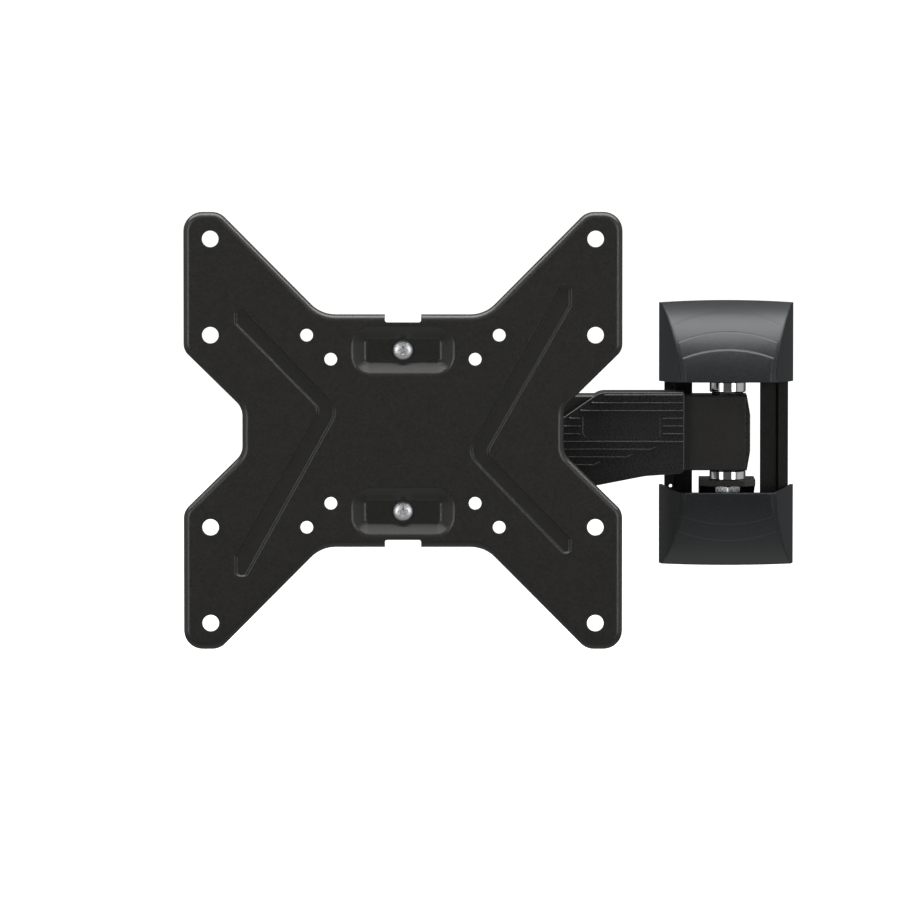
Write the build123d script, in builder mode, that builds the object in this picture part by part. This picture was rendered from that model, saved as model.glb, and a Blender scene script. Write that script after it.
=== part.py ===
from build123d import *
import os
from math import radians, tan

os.makedirs("parts", exist_ok=True)

# ------------------------------------------------------------------ driving sizes, in millimetres
# The wall is the plane Y = 0, the mount stands out of it towards -Y, X runs to the right along
# the wall and Z is up. A "depth" is a distance out from the wall, so it is -Y.

# sheet steel
steel = 3.0                       # brackets and wall plate
bend_outer = 4.5
bend_inner = 1.5
gap = 0.2                         # free space round a bolt, a lug or a plug
nut_corner = 0.08                 # a nut's corners stand out this share of its flats
same_size = 0.01                  # two radii closer than this are one size

# wall plate
wall_plate_width = 65.2
wall_plate_margin = 8.0           # each cover reaches this far past the wall plate
wall_plate_corner = 4.0
window_width = 35.8
joggle_step = 2.0                 # how far the outer strips stand off the wall
joggle_width = 5.3
joggle_run = 1.2
joggle_lead = 1.0                 # how much nearer the middle the front faces bend
wall_hole_radius = 4.0
wall_hole_spacing_x = 40.0
wall_hole_spacing_z = 100.0
pin_hole_radius = 0.9
pin_hole_x = 29.3
pin_hole_z = 27.9

# vertical pivots: M8 bolts through two ears
pivot_depth = 30.0
pivot_bolt_radius = 4.0
hex_m8 = 13.0                     # across flats
head_m8 = 5.3
nut_m8 = 6.5
thread_end = 2.0                  # bolt length past its nut
washer_m8_radius = 8.0
washer_m8 = 1.6
spacer_radius = 9.5
spacer_chamfer = 0.6
upper_spacer = 5.7
lower_spacer = 4.9
ear_width = 29.0
ear_nose = 10.8                   # ear length past the pivot
ear_chamfer = 6.0
relief = 8.0                      # notch beside the ear's bend
gusset = 8.0

# swing arm: rectangular tube between the pivots
arm_length = 170.0
arm_height = 39.5
arm_thick = 22.0
arm_z = 2.4
arm_wall = 2.0
arm_corner = 1.5
arm_overrun = 9.2                 # tube length past each pivot
bush_radius = 6.5
bush_length = 6.0
running = 0.06                    # radial clearance of a pin in its bush
thrust_radius = 8.25
upper_thrust = 1.15
lower_thrust = 0.45
cap_bulge = 2.4
cap_flat = 19.0
cap_plug = 2.0
cap_wall = 1.5
cap_edge = 0.6

# ribbed cable cover over the arm
guard_wall = 1.6
guard_edge = 0.7
guard_stand = 5.0                 # its front face, out from the tube's front
guard_reach = 18.0                # how far its edges reach back over the tube
guard_end_x = -22.9
guard_bottom_wall = 1.1
rib_pitch = 4.05
rib_width = 1.2
rib_height = 0.6
guard_top_length = 44.4           # straight top, to the corner of the diagonal
guard_tip_length = 53.5
diagonal_slope = 0.688
guard_tip_drop = 2.0
guard_belly_run = 28.0
guard_belly_drop = 11.0
guard_heel_run = 20.7
guard_heel_drop = 1.4
rib_count = 10
rib_first = 1.6                   # first rib below the top face
rib_margin = 4.5                  # from the diagonal to the ribs' ends
short_ribs = {7: 18.4, 8: 30.9, 9: 48.1}   # where they end, in from the right end
tip_run = 3.8
tip_rise = 1.6
label_depth = 0.5
label_drop = 12.5                 # from the cover's top to the label field
label_height = 11.1
label_left_x = -76.3
label_right_x = -35.6
label_chamfer = 3.0
lug_first = 12.0                  # from the cover's right end to the first lug
lug_pitch = 24.0
lug_length = 8.0
lug_height = 2.6
lug_depth = 2.0

# wall covers: two wedge-shaped shells, the lower one mirrored
cover_half_width = 35.5
cover_rise = 41.0
cover_bow = 1.2
cover_wall = 1.8
cover_back_gap = 0.3
cover_ear_gap = 4.2               # from the ear's front edge to the cover's front face
cover_front_half_width = 25.0
cover_side_bulge = 1.15
# The front's side view: shares of the depth and of the height, and how much of the wall's
# thickness is taken off the depth there; the rest is taken off the height.
cover_curve = [
    (1.0, 0.0, 1.0),
    (0.925, 0.244, 1.0),
    (0.816, 0.451, 0.9),
    (0.622, 0.683, 0.75),
    (0.4, 0.86, 0.5),
    (0.16, 0.972, 0.2),
    (0.06, 1.0, 0.0),
]
terrace = 1.0                     # height of each step of the front panel
terrace_inset = 0.8
terrace_radius = 60.0
outer_terrace_rise = 25.3         # crests of the arcs, above the cover's inner end
inner_terrace_rise = 17.1
hook_reach = 2.8
hook_root = 1.0                   # how far a hook is sunk into the cover's side
hook_height = 10.0
hook_rise = 10.2                  # from the cover's inner end to the hook
hollow_side = 0.5                 # how far inside the walls the mouth of the hollow is cut

# swivel bracket, tilt bracket and their M6 bolts
web_gap = 9.0                     # from the tube's front to the swivel bracket's web
cheek_half = 20.0                 # outer face of the swivel bracket's cheeks
cheek_root = 32.0
cheek_nose = 8.0
tilt_reach = 6.5                  # tilt axis, out from the web's front
tilt_bolt_radius = 3.0
tilt_running = 0.05
hex_m6 = 10.0
head_m6 = 4.0
nut_m6 = 5.0
washer_m6_radius = 6.0
washer_m6 = 1.2
friction_washer = 0.8
tilt_plate_height = 100.0
nose_gap = 0.5

# screen plate
plate_z = 5.7
plate_half_width = 114.0
plate_half_height = 113.75
plate_flange = 8.0
plate_sheet = 2.0
plate_rim = 3.5
tab_inner_x = 95.3
tab_radius = 9.75
shoulder_x = 42.5
shoulder_z = 60.5
shoulder_radius = 18.0
side_tab_z = 42.0
side_tab_radius = 8.0
waist_x = 83.5
waist_z = 12.0
waist_radius = 10.0
notch_width = 18.8
notch_depth = 3.9
vesa_large = 200.0
vesa_medium = 100.0
vesa_small = 75.0
m8_hole_radius = 4.3
m4_hole_radius = 3.3

# pockets for the plate's M5 bolts, and the pressed V bands
plate_bolt_z = 42.0
pocket_depth = 5.0
pocket_floor = (39.4, 11.8, 2.0)  # width, height, corner radius
pocket_mouth = (52.8, 25.0, 10.0)
plate_bolt_radius = 2.5
pan_head_radius = 5.15
pan_head = 3.2
pan_round = 1.9
cross_width = 1.3
cross_length = 5.6
cross_depth = 1.6
hex_m5 = 8.0
nut_m5 = 4.0
washer_m5_radius = 5.5
washer_m5 = 1.0
level_range = 3.0                 # degrees each way
slot_radius = 2.8
slot_angle = level_range + 0.5
band_depth = 1.2
band_apex_z = 11.4
band_outer_x = 33.7               # apexes of the left band, from the plate's middle
band_inner_x = 43.3
band_end_x = 87.0
upper_limb_angle = 45.7
lower_limb_angle = 60.3
band_low_z = 75.5
band_foot = 5.3
band_radii = [4.0, 3.5, 1.5, 3.0, 1.5, 2.5, 2.5]

# ------------------------------------------------------------------ places worked out from them
head_x = -arm_length
arm_top = arm_z + arm_height / 2
arm_bottom = arm_z - arm_height / 2
upper_ear_z = arm_top + upper_thrust + upper_spacer
lower_ear_z = arm_bottom - lower_thrust - lower_spacer
lower_ear_bottom = lower_ear_z - steel
ears_reach = upper_ear_z + steel  # further up or down than any ear
cover_inner_z = upper_ear_z
cover_outer_z = cover_inner_z + cover_rise
outer_terrace_z = cover_inner_z + outer_terrace_rise
inner_terrace_z = cover_inner_z + inner_terrace_rise
wall_plate_height = 2 * (cover_outer_z - wall_plate_margin)
ear_reach = pivot_depth + ear_nose
cover_depth = ear_reach + cover_ear_gap
arm_front_depth = pivot_depth + arm_thick / 2
guard_front_depth = arm_front_depth + guard_stand
guard_rear_depth = arm_front_depth - guard_reach
web_depth = arm_front_depth + web_gap + steel
tilt_depth = web_depth + tilt_reach
tilt_plate_depth = tilt_depth + cheek_nose + nose_gap + steel
plate_depth = tilt_plate_depth + plate_sheet + pocket_depth
bolt_top = upper_ear_z + steel + washer_m8
bolt_bottom = lower_ear_bottom - nut_m8 - thread_end
tilter_cheek_half = cheek_half + friction_washer + steel
plate_back_depth = plate_depth - plate_sheet
pocket_floor_depth = plate_depth - pocket_depth
pivots = {"wall": 0.0, "head": head_x}


def facing(x, depth, z):
    """A plane parallel to the wall, its normal pointing out from the wall."""
    return Plane(origin=(x, -depth, z), x_dir=(1, 0, 0), z_dir=(0, -1, 0))


def level_at(x, depth, z):
    """A level plane whose origin stands at this place."""
    return Plane(origin=(x, -depth, z), x_dir=(1, 0, 0), z_dir=(0, 0, 1))


def along_x(x, depth, z):
    """A plane across X: its own x runs out of the wall, its normal along +X."""
    return Plane(origin=(x, -depth, z), x_dir=(0, -1, 0), z_dir=(-1, 0, 0))


# ------------------------------------------------------------------ wall plate, one bent blank
half_plate = wall_plate_width / 2
strip_x = half_plate - joggle_width
plate_section = [
    (0, 0),
    (strip_x, 0),
    (strip_x + joggle_run, -joggle_step),
    (half_plate, -joggle_step),
    (half_plate, -joggle_step - steel),
    (strip_x + joggle_run - joggle_lead, -joggle_step - steel),
    (strip_x - joggle_lead, -steel),
    (0, -steel),
]


def ear_profile(root_z, direction):
    """The side view of an ear: a tongue bent out of the plate at root_z, its inner face there."""
    outer_z = root_z + direction * steel
    with BuildSketch(Plane.YZ) as profile:
        with BuildLine():
            FilletPolyline(
                (0, outer_z + direction * relief),
                (0, root_z),
                (-ear_reach, root_z),
                (-ear_reach, outer_z),
                (-steel, outer_z),
                (-steel, outer_z + direction * relief),
                radius=[bend_outer, 0, 0, bend_inner],
            )
            Line((-steel, outer_z + direction * relief), (0, outer_z + direction * relief))
        make_face()
    return profile.sketch


ears = [(upper_ear_z, 1), (lower_ear_z, -1)]
ear_profiles = [ear_profile(z, direction) for z, direction in ears]

with BuildPart() as wall_plate:
    with BuildSketch(Plane.XY.offset(-wall_plate_height / 2)):
        with BuildLine():
            Polyline(*plate_section, close=True)
        make_face()
        mirror(about=Plane.YZ)
    extrude(amount=wall_plate_height)
    fillet(wall_plate.edges().filter_by(Axis.Y).group_by(Axis.X)[0], wall_plate_corner)
    fillet(wall_plate.edges().filter_by(Axis.Y).group_by(Axis.X)[-1], wall_plate_corner)
    window_low = lower_ear_bottom
    window_high = ears_reach
    with BuildSketch(facing(0, 0, (window_low + window_high) / 2)):
        Rectangle(window_width, window_high - window_low)
    extrude(amount=steel, mode=Mode.SUBTRACT)
    notch_side = (window_width - ear_width) / 2
    for root_z, direction in ears:
        notch_z = root_z + direction * (steel + relief / 2)
        with BuildSketch(facing(0, 0, notch_z)):
            with GridLocations(ear_width + notch_side, 0, 2, 1):
                Rectangle(notch_side, relief)
        extrude(amount=steel, mode=Mode.SUBTRACT)
    for profile in ear_profiles:
        extrude(profile, amount=ear_width / 2, both=True)
    nose_edges = wall_plate.edges().filter_by(Axis.Z).group_by(Axis.Y)[0]
    chamfer(nose_edges, ear_chamfer)
    for root_z, direction in ears:
        outer_z = root_z + direction * steel
        for side in (-1, 1):
            with BuildSketch(Plane.YZ.offset(side * (ear_width - steel) / 2)):
                with BuildLine():
                    Polyline(
                        (-steel, outer_z),
                        (-pivot_depth, outer_z),
                        (-steel, outer_z + direction * gusset),
                        close=True,
                    )
                make_face()
            extrude(amount=steel / 2, both=True)
    with BuildSketch(level_at(0, pivot_depth, 0)):
        Circle(pivot_bolt_radius + gap)
    extrude(amount=ears_reach, both=True, mode=Mode.SUBTRACT)
    with BuildSketch(facing(0, 0, 0)):
        with GridLocations(wall_hole_spacing_x / 2, wall_hole_spacing_z, 3, 2):
            Circle(wall_hole_radius)
        with Locations((-pin_hole_x, -pin_hole_z), (pin_hole_x, pin_hole_z)):
            Circle(pin_hole_radius)
    extrude(amount=joggle_step + steel, mode=Mode.SUBTRACT)
wall_plate.part.label = "wall_plate"
export_step(wall_plate.part, "parts/wall_plate.step")


# ------------------------------------------------------------------ wall covers
side_middle_x = (cover_half_width + cover_front_half_width) / 2 + cover_side_bulge


def cover_section(inset, depth):
    """The cover seen along Z: a trapezium with bulging sides, open towards the wall."""
    with BuildSketch(Plane.XY.offset(cover_inner_z)) as section:
        with BuildLine():
            front = Line((0, -depth), (cover_front_half_width - inset, -depth))
            side = ThreePointArc(
                front @ 1,
                (side_middle_x - inset, -cover_depth / 2),
                (cover_half_width - inset, 0),
            )
            Line(side @ 1, (0, 0))
            mirror(about=Plane.YZ)
        make_face()
    return section.sketch


def cover_profile(step, wall):
    """The cover seen along X, its front a curve, set back by a step and moved in by a wall."""
    depth = cover_depth - step
    front_points = [
        (-share * depth + wall * hold, cover_inner_z + rise * cover_rise - wall * (1 - hold))
        for share, rise, hold in cover_curve
    ]
    with BuildSketch(Plane.YZ) as profile:
        with BuildLine():
            front = Spline(*front_points)
            outer_end = Line(front @ 1, (-cover_back_gap, (front @ 1).Y))
            Polyline(outer_end @ 1, (-cover_back_gap, cover_inner_z), front @ 0)
        make_face()
    return profile.sketch


def cover_body(inset, step, arc_top_z):
    """One layer of a cover: section and side view crossed, cut off by an arc at arc_top_z."""
    section = cover_section(inset, cover_depth)
    profile = cover_profile(step, 0)
    arc_radius = terrace_radius if arc_top_z < cover_outer_z else bow_radius
    with BuildPart() as body:
        extrude(section, amount=cover_rise)
        extrude(profile, amount=cover_half_width, both=True, mode=Mode.INTERSECT)
        with BuildSketch(facing(0, 0, arc_top_z - arc_radius)):
            Circle(arc_radius)
        extrude(amount=cover_depth, mode=Mode.INTERSECT)
    return body.part


def cover_hollow():
    """The inside of a cover: its outer faces moved in by the wall, open behind and below."""
    section = cover_section(cover_wall, cover_depth)
    profile = cover_profile(terrace, cover_wall)
    with BuildPart() as hollow:
        extrude(section, amount=cover_rise)
        extrude(profile, amount=cover_half_width, both=True, mode=Mode.INTERSECT)
        with BuildSketch(Plane.XY.offset(cover_inner_z)):
            with Locations((0, -cover_wall / 2)):
                Rectangle(2 * (cover_half_width - cover_wall - hollow_side), cover_wall)
        extrude(amount=cover_rise - 2 * cover_wall)
    return hollow.part


bow_radius = (cover_half_width**2 + cover_bow**2) / (2 * cover_bow)
cover_layers = [
    cover_body(0, 2 * terrace, cover_outer_z),
    cover_body(terrace_inset, terrace, outer_terrace_z),
    cover_body(2 * terrace_inset, 0, inner_terrace_z),
]
cover_space = cover_hollow()

with BuildPart() as upper_wall_cover:
    for layer in cover_layers:
        add(layer)
    add(cover_space, mode=Mode.SUBTRACT)
    hook_x = cover_half_width - cover_wall
    with BuildSketch(Plane.XY.offset(cover_inner_z + hook_rise)):
        for side in (-1, 1):
            hook_depth = cover_back_gap + (joggle_step - cover_back_gap - gap) / 2
            with Locations((side * (hook_x + hook_root - hook_reach / 2), -hook_depth)):
                Rectangle(hook_reach + hook_root, joggle_step - cover_back_gap - gap)
    extrude(amount=hook_height)
upper_wall_cover.part.label = "upper_wall_cover"
export_step(upper_wall_cover.part, "parts/upper_wall_cover.step")

with BuildPart() as lower_wall_cover:
    add(mirror(upper_wall_cover.part, about=Plane.XY))
lower_wall_cover.part.label = "lower_wall_cover"
export_step(lower_wall_cover.part, "parts/lower_wall_cover.step")


# ------------------------------------------------------------------ pivot bolts and spacers
def hex_nut(plane, flats, height, hole_radius):
    """A hexagon nut standing on the plane, its corners chamfered at both ends."""
    with BuildPart() as nut:
        with BuildSketch(plane):
            RegularPolygon(flats / 2, 6, major_radius=False)
            if hole_radius:
                Circle(hole_radius, mode=Mode.SUBTRACT)
        extrude(amount=height)
        with BuildSketch(plane):
            Circle(flats / 2 + nut_corner * flats)
        extrude(amount=height, mode=Mode.INTERSECT)
    return nut.part


def ring(plane, outer_radius, hole_radius, height, edge=0.0):
    """A washer, bush or spacer standing on the plane, its outer edges chamfered by edge."""
    with BuildPart() as washer:
        with BuildSketch(plane):
            Circle(outer_radius)
            Circle(hole_radius, mode=Mode.SUBTRACT)
        extrude(amount=height)
        if edge:
            rims = washer.edges().filter_by(GeomType.CIRCLE)
            chamfer(rims.filter_by(lambda rim: rim.radius > outer_radius - same_size), edge)
    return washer.part


for name, x in pivots.items():
    bolt_hole = pivot_bolt_radius + gap

    with BuildPart() as pivot_bolt:
        add(hex_nut(level_at(x, pivot_depth, bolt_top), hex_m8, head_m8, 0))
        with BuildSketch(level_at(x, pivot_depth, bolt_bottom)):
            Circle(pivot_bolt_radius)
        extrude(amount=bolt_top - bolt_bottom)
        chamfer(pivot_bolt.faces().sort_by(Axis.Z)[0].edges(), spacer_chamfer)
    pivot_bolt.part.label = f"{name}_pivot_bolt"
    export_step(pivot_bolt.part, f"parts/{name}_pivot_bolt.step")

    with BuildPart() as pivot_washer:
        washer_plane = level_at(x, pivot_depth, upper_ear_z + steel)
        add(ring(washer_plane, washer_m8_radius, bolt_hole, washer_m8))
    pivot_washer.part.label = f"{name}_pivot_washer"
    export_step(pivot_washer.part, f"parts/{name}_pivot_washer.step")

    with BuildPart() as pivot_nut:
        nut_plane = level_at(x, pivot_depth, lower_ear_bottom - nut_m8)
        add(hex_nut(nut_plane, hex_m8, nut_m8, pivot_bolt_radius))
    pivot_nut.part.label = f"{name}_pivot_nut"
    export_step(pivot_nut.part, f"parts/{name}_pivot_nut.step")

    spacers = {
        "upper": (arm_top + upper_thrust, upper_spacer),
        "lower": (arm_bottom - lower_thrust - lower_spacer, lower_spacer),
    }
    for place, (spacer_z, spacer_height) in spacers.items():
        with BuildPart() as spacer:
            spacer_plane = level_at(x, pivot_depth, spacer_z)
            add(ring(spacer_plane, spacer_radius, bolt_hole, spacer_height, spacer_chamfer))
        spacer.part.label = f"{name}_{place}_spacer"
        export_step(spacer.part, f"parts/{name}_{place}_spacer.step")

    with BuildPart() as thrust_washers:
        add(ring(level_at(x, pivot_depth, arm_top), thrust_radius, bolt_hole, upper_thrust))
        lower_thrust_plane = level_at(x, pivot_depth, arm_bottom - lower_thrust)
        add(ring(lower_thrust_plane, thrust_radius, bolt_hole, lower_thrust))
    thrust_washers.part.label = f"{name}_thrust_washers"
    export_step(thrust_washers.part, f"parts/{name}_thrust_washers.step")

    with BuildPart() as bushes:
        for bush_z in (arm_top - bush_length, arm_bottom):
            bush_plane = level_at(x, pivot_depth, bush_z)
            add(ring(bush_plane, bush_radius, pivot_bolt_radius + running, bush_length))
    bushes.part.label = f"{name}_pivot_bushes"
    export_step(bushes.part, f"parts/{name}_pivot_bushes.step")


# ------------------------------------------------------------------ swing arm
arm_left_x = head_x - arm_overrun
arm_right_x = arm_overrun
lug_x = [guard_end_x - lug_first, guard_end_x - lug_first - lug_pitch]

with BuildPart() as arm_tube:
    with BuildSketch(Plane.YZ.offset(arm_left_x)):
        with Locations((-pivot_depth, arm_z)):
            RectangleRounded(arm_thick, arm_height, arm_corner)
            Rectangle(arm_thick - 2 * arm_wall, arm_height - 2 * arm_wall, mode=Mode.SUBTRACT)
    extrude(amount=arm_right_x - arm_left_x)
    with BuildSketch(Plane.XY):
        with Locations(*[(x, -pivot_depth) for x in pivots.values()]):
            Circle(bush_radius)
    extrude(amount=arm_height, both=True, mode=Mode.SUBTRACT)
    with BuildSketch(Plane.XY.offset(arm_z)):
        with Locations(*[(x, -pivot_depth) for x in lug_x]):
            Rectangle(lug_length + 2 * gap, lug_depth + 2 * gap)
    extrude(amount=arm_height, mode=Mode.SUBTRACT)
arm_tube.part.label = "arm_tube"
export_step(arm_tube.part, "parts/arm_tube.step")


def end_cap(direction, tube_end_x):
    """A bulged plug for an open end of the tube, facing along X by direction."""
    bulge_x = tube_end_x + direction * cap_bulge
    plug_depth = arm_thick - 2 * arm_wall - 2 * gap
    plug_height = arm_height - 2 * arm_wall - 2 * gap
    with BuildPart() as cap:
        with BuildSketch(facing(0, pivot_depth, arm_z)):
            with BuildLine():
                Polyline(
                    (tube_end_x, -arm_height / 2),
                    (tube_end_x + direction * cap_edge, -arm_height / 2),
                    (bulge_x, -cap_flat / 2),
                    (bulge_x, cap_flat / 2),
                    (tube_end_x + direction * cap_edge, arm_height / 2),
                    (tube_end_x, arm_height / 2),
                    close=True,
                )
            make_face()
        extrude(amount=arm_thick / 2, both=True)
        ends = cap.edges().group_by(Axis.X)[-1 if direction > 0 else 0]
        fillet(ends, cap_edge)
        with BuildSketch(Plane.YZ.offset(tube_end_x)):
            with Locations((-pivot_depth, arm_z)):
                Rectangle(plug_depth, plug_height)
                inner = (plug_depth - 2 * cap_wall, plug_height - 2 * cap_wall)
                Rectangle(*inner, mode=Mode.SUBTRACT)
        extrude(amount=-direction * cap_plug)
    return cap.part


with BuildPart() as wall_end_cap:
    add(end_cap(1, arm_right_x))
wall_end_cap.part.label = "wall_end_cap"
export_step(wall_end_cap.part, "parts/wall_end_cap.step")

with BuildPart() as head_end_cap:
    add(end_cap(-1, arm_left_x))
head_end_cap.part.label = "head_end_cap"
export_step(head_end_cap.part, "parts/head_end_cap.step")

# ------------------------------------------------------------------ ribbed cable cover
guard_top = arm_top + gap + guard_wall
guard_bottom = arm_bottom - gap / 2 - guard_bottom_wall
guard_corner_x = guard_end_x - guard_top_length
guard_tip_x = guard_corner_x - guard_tip_length
guard_outline = [
    (guard_end_x, guard_top),
    (guard_corner_x, guard_top),
    (guard_tip_x, guard_top - guard_tip_length * diagonal_slope),
    (guard_tip_x, guard_bottom - guard_tip_drop),
    (guard_tip_x + guard_belly_run, guard_bottom - guard_belly_drop),
    (guard_end_x - guard_heel_run, guard_bottom - guard_heel_drop),
    (guard_end_x, guard_bottom),
]
guard_radii = [1.3, 9.0, 4.0, 5.0, 14.0, 30.0, 2.0]
guard_depth = guard_front_depth - guard_rear_depth
guard_chamber_depth = guard_depth - guard_wall
label_top_z = guard_top - label_drop
label_bottom_z = label_top_z - label_height


def rib_line(row):
    """The centre lines of one rib: one for a whole rib, two beside the label field."""
    z = guard_top - rib_first - row * rib_pitch
    diagonal_x = guard_corner_x - (guard_top - z) / diagonal_slope
    left_x = max(diagonal_x + rib_margin, guard_tip_x + rib_margin)
    right_x = guard_end_x - rib_width / 2
    if row in short_ribs:
        end_x = guard_end_x - short_ribs[row]
        return [[(left_x, z), (end_x, z), (end_x + tip_run, z + tip_rise)]]
    if label_bottom_z < z < label_top_z:
        return [
            [(left_x, z), (label_left_x - rib_width, z)],
            [(label_right_x + rib_width, z), (right_x, z)],
        ]
    return [[(left_x, z), (right_x, z)]]


with BuildPart() as arm_cover:
    with BuildSketch(facing(0, guard_rear_depth, 0)):
        with BuildLine():
            FilletPolyline(*guard_outline, radius=guard_radii, close=True)
        make_face()
    extrude(amount=guard_depth)
    fillet(arm_cover.faces().sort_by(Axis.Y)[0].edges(), guard_edge)
    with BuildSketch(facing(0, guard_rear_depth, 0)):
        with BuildLine():
            FilletPolyline(*guard_outline, radius=guard_radii, close=True)
        make_face()
        offset(amount=-guard_wall)
    extrude(amount=guard_chamber_depth, mode=Mode.SUBTRACT)
    with BuildSketch(Plane.YZ.offset(arm_left_x)):
        with Locations((-pivot_depth, arm_z)):
            Rectangle(arm_thick + gap, arm_height + gap)
    extrude(amount=arm_right_x - arm_left_x, mode=Mode.SUBTRACT)
    with BuildSketch(facing(0, guard_front_depth, 0)):
        for row in range(rib_count):
            for points in rib_line(row):
                with BuildLine():
                    line = Polyline(*points)
                trace(line, line_width=rib_width)
    extrude(amount=rib_height)
    with BuildSketch(facing(0, guard_front_depth, 0)):
        label_centre = ((label_left_x + label_right_x) / 2, (label_top_z + label_bottom_z) / 2)
        with Locations(label_centre):
            field = Rectangle(label_right_x - label_left_x, label_top_z - label_bottom_z)
        chamfer(field.vertices().sort_by(Axis.X)[:1], label_chamfer)
    extrude(amount=-label_depth, mode=Mode.SUBTRACT)
    with BuildSketch(Plane.XY.offset(guard_top - guard_wall / 2)):
        with Locations(*[(x, -pivot_depth) for x in lug_x]):
            Rectangle(lug_length, lug_depth)
    extrude(amount=-lug_height)
arm_cover.part.label = "arm_cover"
export_step(arm_cover.part, "parts/arm_cover.step")


# ------------------------------------------------------------------ swivel bracket
cheek_inner = cheek_half - steel
web_height = upper_ear_z - lower_ear_z + 2 * steel
web_z = (upper_ear_z + lower_ear_z) / 2

with BuildPart() as swivel_bracket:
    with BuildSketch(Plane.YZ.offset(head_x)):
        with BuildLine():
            FilletPolyline(
                (-pivot_depth + ear_nose, upper_ear_z + steel),
                (-web_depth, upper_ear_z + steel),
                (-web_depth, lower_ear_bottom),
                (-pivot_depth + ear_nose, lower_ear_bottom),
                (-pivot_depth + ear_nose, lower_ear_z),
                (-web_depth + steel, lower_ear_z),
                (-web_depth + steel, upper_ear_z),
                (-pivot_depth + ear_nose, upper_ear_z),
                radius=[0, bend_outer, bend_outer, 0, 0, bend_inner, bend_inner, 0],
                close=True,
            )
        make_face()
    extrude(amount=ear_width / 2, both=True)
    fillet(swivel_bracket.edges().filter_by(Axis.Z).group_by(Axis.Y)[-1], ear_nose - gap)
    with BuildSketch(facing(head_x, web_depth - steel, plate_z)):
        Rectangle(2 * cheek_half, cheek_root)
    extrude(amount=steel)
    for side in (-1, 1):
        with BuildSketch(Plane.YZ.offset(head_x + side * (cheek_half - steel / 2))):
            with Locations((-web_depth + steel / 2, plate_z)):
                Rectangle(steel, cheek_root)
            with Locations((-tilt_depth, plate_z)):
                Circle(cheek_nose)
            make_hull()
        extrude(amount=steel / 2, both=True)
    with BuildSketch(level_at(head_x, pivot_depth, 0)):
        Circle(pivot_bolt_radius + gap)
    extrude(amount=ears_reach, both=True, mode=Mode.SUBTRACT)
    with BuildSketch(along_x(head_x, tilt_depth, plate_z)):
        Circle(tilt_bolt_radius + tilt_running)
    extrude(amount=cheek_half, both=True, mode=Mode.SUBTRACT)
swivel_bracket.part.label = "swivel_bracket"
export_step(swivel_bracket.part, "parts/swivel_bracket.step")

# ------------------------------------------------------------------ tilt bracket and its bolts
tilter_cheek_inner = tilter_cheek_half - steel
tilt_plate_back = tilt_plate_depth - steel

with BuildPart() as tilt_bracket:
    with BuildSketch(facing(head_x, tilt_plate_back, plate_z)):
        Rectangle(2 * tilter_cheek_half, tilt_plate_height)
        fillet(vertices(), wall_plate_corner)
    extrude(amount=steel)
    for side in (-1, 1):
        with BuildSketch(Plane.YZ.offset(head_x + side * (tilter_cheek_half - steel / 2))):
            with Locations((-tilt_plate_depth + steel / 2, plate_z)):
                Rectangle(steel, cheek_root)
            with Locations((-tilt_depth, plate_z)):
                Circle(cheek_nose)
            make_hull()
        extrude(amount=steel / 2, both=True)
    with BuildSketch(along_x(head_x, tilt_depth, plate_z)):
        Circle(tilt_bolt_radius + gap)
    extrude(amount=tilter_cheek_half, both=True, mode=Mode.SUBTRACT)
    with BuildSketch(facing(head_x, tilt_plate_back, plate_z)):
        for direction in (90, -90):
            with BuildLine():
                start = direction - slot_angle
                slot_line = CenterArc((0, 0), plate_bolt_z, start, 2 * slot_angle)
            SlotArc(slot_line, 2 * slot_radius)
    extrude(amount=steel, mode=Mode.SUBTRACT)
tilt_bracket.part.label = "tilt_bracket"
export_step(tilt_bracket.part, "parts/tilt_bracket.step")


def sideways(side, distance):
    """A plane across the tilt axis at this distance from the middle, facing the middle."""
    origin = (head_x + side * distance, -tilt_depth, plate_z)
    return Plane(origin=origin, x_dir=(0, 0, 1), z_dir=(-side, 0, 0))


washer_m6_face = tilter_cheek_half + washer_m6
bolt_m6_length = washer_m6_face - cheek_inner + nut_m6 + thread_end / 2

with BuildPart() as tilt_bolts:
    for side in (-1, 1):
        head_plane = sideways(side, washer_m6_face + head_m6)
        add(hex_nut(head_plane, hex_m6, head_m6, 0))
        with BuildSketch(sideways(side, washer_m6_face)):
            Circle(tilt_bolt_radius)
        extrude(amount=bolt_m6_length)
tilt_bolts.part.label = "tilt_bolts"
export_step(tilt_bolts.part, "parts/tilt_bolts.step")

with BuildPart() as tilt_washers:
    for side in (-1, 1):
        add(ring(sideways(side, washer_m6_face), washer_m6_radius, tilt_bolt_radius + gap, washer_m6))
tilt_washers.part.label = "tilt_washers"
export_step(tilt_washers.part, "parts/tilt_washers.step")

with BuildPart() as tilt_friction_washers:
    for side in (-1, 1):
        friction_plane = sideways(side, tilter_cheek_inner)
        add(ring(friction_plane, cheek_nose - gap, tilt_bolt_radius + gap, friction_washer))
tilt_friction_washers.part.label = "tilt_friction_washers"
export_step(tilt_friction_washers.part, "parts/tilt_friction_washers.step")

with BuildPart() as tilt_nuts:
    for side in (-1, 1):
        add(hex_nut(sideways(side, cheek_inner), hex_m6, nut_m6, tilt_bolt_radius))
tilt_nuts.part.label = "tilt_nuts"
export_step(tilt_nuts.part, "parts/tilt_nuts.step")

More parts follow.
